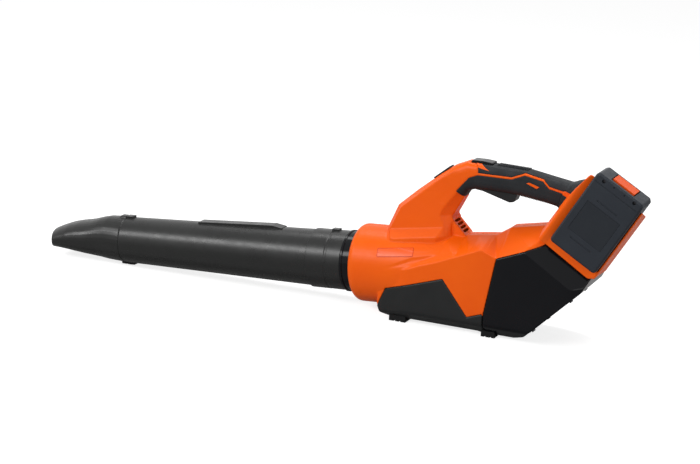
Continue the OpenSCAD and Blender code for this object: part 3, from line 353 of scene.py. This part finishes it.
# ---------------------------------------------------------------- moulded skins
def axis_point(x):
    """Height of the barrel's axis at a place along the blower, in millimetres."""
    return barrel_axis_height + barrel_axis_rise * x


def reform(piece, form):
    """Moves every point of a piece; the form works in millimetres."""
    for v in piece.data.vertices:
        v.co = form(v.co / MM) * MM


def soften(skin, weigh, count):
    """Smooths a skin where weigh gives a point some weight."""
    group = skin.vertex_groups.new(name="blend")
    for v in skin.data.vertices:
        w = weigh(v.co / MM)
        if w > 0.02:
            group.add([v.index], min(1.0, w), "REPLACE")
    modify(skin, "SMOOTH", factor=0.5, iterations=count, vertex_group="blend")
    skin.vertex_groups.clear()


def backing(skin, place):
    """Joins a thin curved plate to a skin; place gives its middle layer for u and v of 0 to 1."""
    rest_selection()
    bpy.ops.mesh.primitive_grid_add(x_subdivisions=12, y_subdivisions=12, size=1)
    plate = bpy.context.object
    reform(plate, lambda p: place(p.x * MM + 0.5, p.y * MM + 0.5))
    modify(plate, "SOLIDIFY", thickness=plate_thickness * MM, offset=0)
    rest_selection()
    plate.select_set(True)
    take(skin)
    plate.select_set(True)
    bpy.ops.object.join()


def moulded_skin(node, name, voxel, passes, first=None, backs=(), blends=(), forms=(), ends=(),
                 body="housing"):
    """A node's copy with evenly rounded edges, from a new mesh of voxel millimetres.

    first and forms move points before and after the new mesh is laid, backs are plates
    behind thin places; blends and ends are pairs of a point's weight and a number of passes.
    """
    skin = copy_of(node)
    if first:
        reform(skin, first)
    for place in backs:
        backing(skin, place)
    modify(skin, "REMESH", mode="VOXEL", voxel_size=voxel * MM)
    for weigh, count in blends:
        soften(skin, weigh, count)
    for form in forms:
        reform(skin, form)
    for weigh, count in ends:
        soften(skin, weigh, count)
    modify(skin, "SMOOTH", factor=0.5, iterations=passes)
    triangles = 2 * len(skin.data.polygons)
    if triangles > most_triangles:
        modify(skin, "DECIMATE", ratio=most_triangles / triangles)
    smooth(skin, 180)
    fit_out(skin, name, body, finishes[slot_of[node]])
    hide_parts(node)


def near_barrel_root(p):
    """Weight of a point where the handle column grows out of the barrel."""
    rise = p.z - axis_point(p.x)
    if not -62 < p.x < 62 or rise < 30:
        return 0
    fillet_middle, fillet_reach = 2, 11
    out = math.hypot(p.y, rise) - barrel_radius
    return max(0, 1 - abs(out - fillet_middle) / fillet_reach)


# side view of the column: front point, rear point and half width, as the frame is lofted
column = [
    ((-44, 92), (60, 104), 47.5), ((-43, 128), (54, 148), 35.5), ((-30, 161), (54, 158), 27.5),
    ((-2, 186.5), (61, 171), 22.5), ((30, 213), (69, 187), 19.5), ((50, 228), (74, 195), 18.5),
    ((70, 237), (87, 198.5), 17.5),
]
# flat faces of the column's section: a * along + b * across <= c
flat_faces = [(0, 1, 0.95), (-1, 0, 1), (1, 0, 1), (-0.6, 0.26, 0.691), (0.68, 0.73, 1.05)]


def column_place(p):
    """Station number of a point, and its place along and across the section there."""
    for k in range(len(column) - 1):
        level = []
        for front, rear, _ in column[k:k + 2]:
            dx, dz = rear[0] - front[0], rear[1] - front[1]
            level.append(((p.z - front[1]) * dx - (p.x - front[0]) * dz) / math.hypot(dx, dz))
        if level[0] >= 0 > level[1]:
            t = level[0] / (level[0] - level[1])
            (front, rear, half), (next_front, next_rear, next_half) = column[k:k + 2]
            front = Vector([a + (b - a) * t for a, b in zip(front, next_front)])
            rear = Vector([a + (b - a) * t for a, b in zip(rear, next_rear)])
            half += (next_half - half) * t
            reach = (rear - front) / 2
            along = (Vector((p.x, p.z)) - (front + rear) / 2).dot(reach) / reach.length_squared
            return k + t, along, abs(p.y) / half
    return None


# the column's section is a rounded box of this power; points below inner_size of it are on
# the inner face of the wall
roundness, inner_size, column_wall = 3.2, 0.94, 2.4
# half width of the flanks at their top, and how they widen downwards, in the skirt more
flank_top, flank_half, flank_draft, skirt_draft = 190, 20, 0.12, 0.62
# height of the skirt, and the radius round the barrel's axis to which the foot goes back
skirt_depth, under_skirt_radius = 14.5, 56.8


def skirt_edge(x):
    """Height at which the column's flank turns outwards into its skirt."""
    return 131.5 + (x + 15.5) * 0.163


def within(value):
    """A number kept between 0 and 1."""
    return max(0, min(1, value))


def flat_sided(p):
    """Gives the column flat flanks, a flat rear corner and a sloping skirt at its foot."""
    if not (-60 < p.x < 92 and 100 < p.z < 236):
        return p
    place = column_place(p)
    if not place:
        return p
    station, along, across = place
    size = (abs(along) ** roundness + across ** roundness) ** (1 / roundness)
    if not 0.7 < size < 1.05:
        return p
    grow = 1.0
    if size > inner_size:
        far = math.hypot(along, across)
        flat = min(c * far / (a * along + b * across) for a, b, c in flat_faces
                   if a * along + b * across > 0.01)
        round_edge = far / size
        fade = within((station - 0.2) / 0.8) * within((5.3 - station) / 1.2)
        grow = 1 + (flat / round_edge - 1) * fade
    side = 1 if p.y > 0 else -1
    y = abs(p.y) * grow
    front, rear = column[int(station)][0], column[int(station)][1]
    reach = Vector((rear[0] - front[0], rear[1] - front[1]))
    shift = along * (grow - 1) * reach / 2
    x, z = p.x + shift.x, p.z + shift.y
    inside = column_wall if size < inner_size else 0
    edge = skirt_edge(x)
    if z < flank_top:
        y = min(y, flank_half + (flank_top - z) * flank_draft + skirt_draft * max(0, edge - z)
                - inside)
    rise = z - axis_point(x)
    out = math.hypot(y, rise)
    limit = under_skirt_radius - inside
    if z < edge - skirt_depth and out > limit:
        y *= limit / out
        z = axis_point(x) + rise * limit / out
    return Vector((x, side * y, z))


def line_height(points, x):
    """Height of a broken line at x."""
    for (x0, z0), (x1, z1) in zip(points, points[1:]):
        if x0 <= x <= x1:
            return z0 + (z1 - z0) * (x - x0) / (x1 - x0)
    return None


# lower and upper edge of the hollow in the body's side as x and z, and its greatest depth
sweep_low = [(-34, 74.5), (-27, 77), (36, 94.5), (100, 119.5), (122, 128)]
sweep_high = [(-34, 75), (10, 97.5), (54, 108.5), (109, 127), (122, 128.5)]
sweep_depth = 1.6


def swept_side(p):
    """A shallow hollow that sweeps up along the body's side."""
    if not (-34 < p.x < 122 and 70 < p.z < 132 and abs(p.y) > 38):
        return p
    low, high = line_height(sweep_low, p.x), line_height(sweep_high, p.x)
    if not low < p.z < high:
        return p
    t = (p.z - low) / (high - low)
    deep = min(sweep_depth, 0.16 * (high - low)) * 4 * t * (1 - t) * within((94 - p.x) / 20)
    return Vector((p.x, p.y - math.copysign(deep, p.y), p.z))


def eased(p):
    """Opens the turbo button's pocket a little and thickens the dock's lip behind the pack."""
    x, y = p.x, abs(p.y)
    if p.z > pocket_floor - 0.1 and pocket_front - 0.1 < x < pocket_rear + 0.1 \
            and y < pocket_half + 0.1:
        x += pocket_ease * (abs(x - pocket_rear) < 0.05)
        x -= pocket_ease * (abs(x - pocket_front) < 0.05)
        y += pocket_ease * (abs(y - pocket_half) < 0.05)
        return Vector((x, math.copysign(y, p.y), p.z))
    across = (x - dock_x) * math.cos(dock_lean) - (p.z - dock_z) * math.sin(dock_lean)
    if across < lip_inside or p.y > -30 or p.z < 100:
        return p
    return p + Vector((math.cos(dock_lean), 0, -math.sin(dock_lean))) * lip_growth


def skirt_foot(p):
    """Weight of a point at the skirt's lower edge and at the ends of the hollow below it."""
    if not (-62 < p.x < 92 and abs(p.y) > 24):
        return 0
    foot = skirt_edge(p.x) - skirt_depth
    return max(0, 1 - abs(p.z - foot) / 8, 1 - abs(p.z - 90 - 0.45 * p.x) / 14)


def shoulder(side):
    """The body's shoulder behind the barrel, between two sections of the body."""
    def place(u, v):
        t = (6 + 20 * u) / 27
        crease, top = 98.2 + 11.8 * t, 128 + 3.8 * t
        half_top, half = 22 - 12 * t, 57.2 + 0.1 * t
        y = 19 + 26 * v
        z = top - (y - half_top) / (half - half_top) * (top - crease)
        return Vector((48 + 27 * t, y * side, z - plate_sunk))
    return place


def dock_front(u, v):
    """The dock's front wall beside the grip's end, in the dock's own slant."""
    across, up = -50.9 + 3.2 * u, 12 + 17 * u
    x = dock_x + across * math.cos(dock_lean) + up * math.sin(dock_lean)
    z = dock_z - across * math.sin(dock_lean) + up * math.cos(dock_lean)
    return Vector((x, -45 + 43.5 * v, z))


for word, backs in (("left", [shoulder(-1), dock_front]), ("right", [shoulder(1)])):
    moulded_skin("housing_" + word, "shell_" + word, 1.1, 4, first=eased, backs=backs,
                 blends=[(near_barrel_root, 4)], forms=(flat_sided, swept_side),
                 ends=[(skirt_foot, 6)])
moulded_skin("front_cover", "cover_front", 1.2, 3)
moulded_skin("intake_shell", "shell_rear", 1.2, 3)
moulded_skin("grip_top", "grip_pad_top", 0.6, 4)
moulded_skin("grip_under", "grip_pad_under", 0.5, 2)
moulded_skin("nozzle", "nozzle_skin", 1.0, 6, body="nozzle_body")


# ---------------------------------------------------------------- grip details and plate
def patch_of(skin_name, name, outline, side, lift, finish, heart):
    """A thin layer that follows a skin inside a convex outline, given as x and z in mm.

    It keeps the faces that look away from heart, on one side of the middle plane, and its
    root reaches below the skin.
    """
    margin, root = 2, 0.5
    piece = bpy.data.objects.new(name, bpy.data.objects[skin_name].data.copy())
    scene.collection.objects.link(piece)
    xs, zs = [p[0] for p in outline], [p[1] for p in outline]

    def apart(centre, normal):
        c = centre / MM
        near = (min(xs) - margin < c.x < max(xs) + margin
                and min(zs) - margin < c.z < max(zs) + margin)
        outwards = normal.dot(c - Vector((heart[0], 0, heart[1]))) > 0
        return not (near and outwards and c.y * side > -1)

    pick_faces(piece, apart)
    bpy.ops.mesh.delete(type="FACE")
    edges = [(outline[i - 1], outline[i]) for i in range(len(outline))]
    turning = 1 if sum(a[0] * b[1] - b[0] * a[1] for a, b in edges) > 0 else -1
    for (x0, z0), (x, z) in edges:
        out = Vector((z - z0, 0, x0 - x)) * turning
        bpy.ops.mesh.select_all(action="SELECT")
        bpy.ops.mesh.bisect(plane_co=(x * MM, 0, z * MM), plane_no=out.normalized(),
                            clear_outer=True)
    bpy.ops.mesh.select_all(action="SELECT")
    bpy.ops.mesh.bisect(plane_co=(0, 0, 0), plane_no=(0, -side, 0), clear_outer=True)
    bpy.ops.mesh.select_all(action="SELECT")
    bpy.ops.transform.shrink_fatten(value=lift * MM)
    bpy.ops.object.mode_set(mode="OBJECT")
    modify(piece, "SOLIDIFY", thickness=(lift + root) * MM, offset=-1)
    smooth(piece, 50)
    fit_out(piece, name, "housing", finish)


def plate_outline(long, tall, corner, steps=4):
    """Outline of the barrel's plate: a rectangle with round corners that leans with it."""
    x, z, lean = -16.5, 100.6, math.radians(8.5)
    points = []
    for k, (sx, sz) in enumerate(((1, 1), (-1, 1), (-1, -1), (1, -1))):
        for i in range(steps + 1):
            a = math.radians(90 * (k + i / steps))
            u = sx * (long / 2 - corner) + corner * math.cos(a)
            v = sz * (tall / 2 - corner) + corner * math.sin(a)
            points.append((x + u * math.cos(lean) - v * math.sin(lean),
                           z + u * math.sin(lean) + v * math.cos(lean)))
    return points


plate_rim = moulded("plate_rim", (0.62, 0.05, 0.003), (0.56, 0.042, 0.003), 0.4,
                    2600, 0.00003, 0.0003, specular=0.2).done()
plate_face = moulded("plate_face", (0.86, 0.098, 0.003), (0.82, 0.088, 0.003), 0.3,
                     3200, 0.00001, 0.0003, specular=0.3).done()
# name, outline, lift, finish, slot and heart of the patches on both housing halves
shell_patches = [
    ("plate_rim_", plate_outline(54.5, 11.6, 1.6), 0.25, plate_rim, "orange_shell", (-16, 70)),
    ("plate_face_", plate_outline(52.9, 10, 1.0), 0.4, plate_face, "orange_shell", (-16, 70)),
    # the seam strip is painted shade: a black layer laid on the orange where a seam of the
    # housing lies in shadow
    ("painted_seam_shade_", [(120.9, 4), (123.4, 4), (123.4, 33), (120.9, 33)], 0.12, cover_black,
     "cover_black", (60, 60)),
    ("grip_tail_top_", [(206, 217.5), (223.6, 213), (247.5, 241.5), (226, 250)], 0.5, soft_grip,
     "soft_grip", (222, 206)),
    ("grip_tail_under_", [(199, 214), (216.5, 208.2), (218.3, 206.2), (206.5, 188.6), (196, 186)],
     0.5, soft_grip, "soft_grip", (208, 206)),
]
tongue = [(83, 236.5), (89.5, 236.3), (104.5, 228.2), (92, 230), (84, 232)]
lozenge = [(159, 218.8), (163.3, 220.3), (178.2, 215.7), (174.4, 213)]
for side, word in ((-1, "left"), (1, "right")):
    for name, outline, lift, finish, slot, heart in shell_patches:
        patch_of("shell_" + word, name + word, outline, side, lift, finish, heart)
    patch_of("grip_pad_top", "grip_tongue_" + word, tongue, side, 0.35, orange_shell,
             (95, 218))
patch_of("grip_pad_under", "grip_lozenge", lozenge, -1, 0.35, orange_shell,
         (165, 212))


def grip_ribs(name, start, end, count, half, high=2.6, thick=1.0):
    """Cross ribs along one face of the grip; start and end are x and z in mm."""
    rest_selection()
    bpy.ops.mesh.primitive_cube_add(size=1, location=(start[0] * MM, 0, start[1] * MM))
    rib = bpy.context.object
    rib.scale = (thick * MM, 2 * half * MM, high * MM)
    settle(rib)
    modify(rib, "BEVEL", width=0.33 * thick * MM, segments=2, limit_method="ANGLE")
    step = ((end[0] - start[0]) / (count - 1) * MM, 0, (end[1] - start[1]) / (count - 1) * MM)
    modify(rib, "ARRAY", count=count, use_relative_offset=False, use_constant_offset=True,
           constant_offset_displace=step)
    settle(rib)
    smooth(rib, 35)
    fit_out(rib, name, "housing", soft_grip)


grip_ribs("top_ribs", (113, 235.9), (157, 234.7), 23, 8)
grip_ribs("under_ribs", (148, 198.9), (199, 192.6), 26, 8.5)


# ---------------------------------------------------------------- springs
def pressed_spring(node, name, body, axis, fixed):
    """A smoothed copy of a return spring in spring steel, hung on its body in the node's place.

    Its free length runs along axis 0, 1 or 2; fixed tells which end stands, 0 low or 1 high.
    """
    spring = copy_of(node)
    smooth(spring, 60)
    fit_out(spring, name, body, spring_steel)
    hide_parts(node)
    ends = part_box(node)
    middle = (Vector(ends[0]) + Vector(ends[1])) / 2
    middle[axis] = ends[fixed][axis]
    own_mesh(spring)


pressed_spring("trigger_spring", "trigger_coil", "housing", 2, 1)
pressed_spring("turbo_spring", "turbo_coil", "housing", 2, 0)
pressed_spring("latch_spring", "latch_coil", "pack", 1, 0)


# ---------------------------------------------------------------- studio
def studio_floor():
    """A pale floor that takes shadows and shows almost white."""
    bpy.ops.mesh.primitive_plane_add(size=24, location=(0, 0, 0))
    floor = bpy.context.object
    floor.name = "studio_floor"
    made = bpy.data.materials.new("studio_floor")
    made.use_nodes = True
    tree = made.node_tree
    tree.nodes.clear()
    out = tree.nodes.new("ShaderNodeOutputMaterial")
    paint = tree.nodes.new("ShaderNodeBsdfDiffuse")
    paint.inputs["Color"].default_value = (0.5, 0.5, 0.5, 1)
    glow = tree.nodes.new("ShaderNodeEmission")
    glow.inputs["Color"].default_value = (1, 1, 1, 1)
    path = tree.nodes.new("ShaderNodeLightPath")
    level = tree.nodes.new("ShaderNodeMath")
    level.operation = "MULTIPLY"
    level.inputs[1].default_value = 0.8
    both = tree.nodes.new("ShaderNodeAddShader")
    tree.links.new(path.outputs["Is Camera Ray"], level.inputs[0])
    tree.links.new(level.outputs[0], glow.inputs["Strength"])
    tree.links.new(paint.outputs[0], both.inputs[0])
    tree.links.new(glow.outputs[0], both.inputs[1])
    tree.links.new(both.outputs[0], out.inputs["Surface"])
    floor.data.materials.append(made)


def studio_world():
    """Soft light all round; seen, mirrored or through glass it is plain white."""
    world = bpy.data.worlds.new("studio")
    scene.world = world
    world.use_nodes = True
    tree = world.node_tree
    tree.nodes.clear()
    out = tree.nodes.new("ShaderNodeOutputWorld")
    soft = tree.nodes.new("ShaderNodeBackground")
    soft.inputs["Color"].default_value = (1, 1, 1, 1)
    soft.inputs["Strength"].default_value = 0.3
    white = tree.nodes.new("ShaderNodeBackground")
    white.inputs["Color"].default_value = (1, 1, 1, 1)
    white.inputs["Strength"].default_value = 1.0
    path = tree.nodes.new("ShaderNodeLightPath")
    shown = soft
    for ray in ("Is Glossy Ray", "Is Transmission Ray", "Is Camera Ray"):
        mix = tree.nodes.new("ShaderNodeMixShader")
        tree.links.new(path.outputs[ray], mix.inputs[0])
        tree.links.new(shown.outputs[0], mix.inputs[1])
        tree.links.new(white.outputs[0], mix.inputs[2])
        shown = mix
    tree.links.new(shown.outputs[0], out.inputs["Surface"])


def softbox(name, place, target, wide, tall, watts):
    """A rectangular lamp that faces its target."""
    lamp = bpy.data.lights.new(name, "AREA")
    lamp.shape = "RECTANGLE"
    lamp.size = wide
    lamp.size_y = tall
    lamp.energy = watts
    holder = bpy.data.objects.new(name, lamp)
    scene.collection.objects.link(holder)
    holder.location = place
    holder.rotation_euler = (Vector(target) - Vector(place)).to_track_quat("-Z", "Y").to_euler()


def side_camera():
    """A long lens, a little above the blower and left of its side."""
    turn, rise, roll = (math.radians(a) for a in (23.4, 14.7, 2.7))
    ahead = Vector((-math.sin(turn) * math.cos(rise), math.cos(turn) * math.cos(rise),
                    -math.sin(rise)))
    right = Vector((math.cos(turn), math.sin(turn), 0))
    up = Vector((-math.sin(turn) * math.sin(rise), math.cos(turn) * math.sin(rise),
                 math.cos(rise)))
    right, up = (right * math.cos(roll) + up * math.sin(roll),
                 up * math.cos(roll) - right * math.sin(roll))

    lens = bpy.data.cameras.new("camera")
    lens.lens = 92.57
    lens.sensor_width = 36
    lens.sensor_fit = "HORIZONTAL"
    lens.clip_end = 100
    camera = bpy.data.objects.new("camera", lens)
    scene.collection.objects.link(camera)
    place = Matrix((right, up, -ahead)).transposed().to_4x4()
    place.translation = Vector((0.89465, -2.31601, 0.76841))
    camera.matrix_world = place
    scene.camera = camera


studio_floor()
studio_world()
softbox("key", (-1.3, -1.9, 1.5), (-0.15, 0, 0.1), 2.0, 0.6, 42)
softbox("overhead", (0.0, 0.35, 1.9), (-0.1, 0, 0.1), 2.4, 0.5, 24)
softbox("fill", (1.7, -1.5, 0.8), (0.15, 0, 0.1), 1.0, 1.0, 6)
side_camera()
scene.view_settings.view_transform = "Standard"
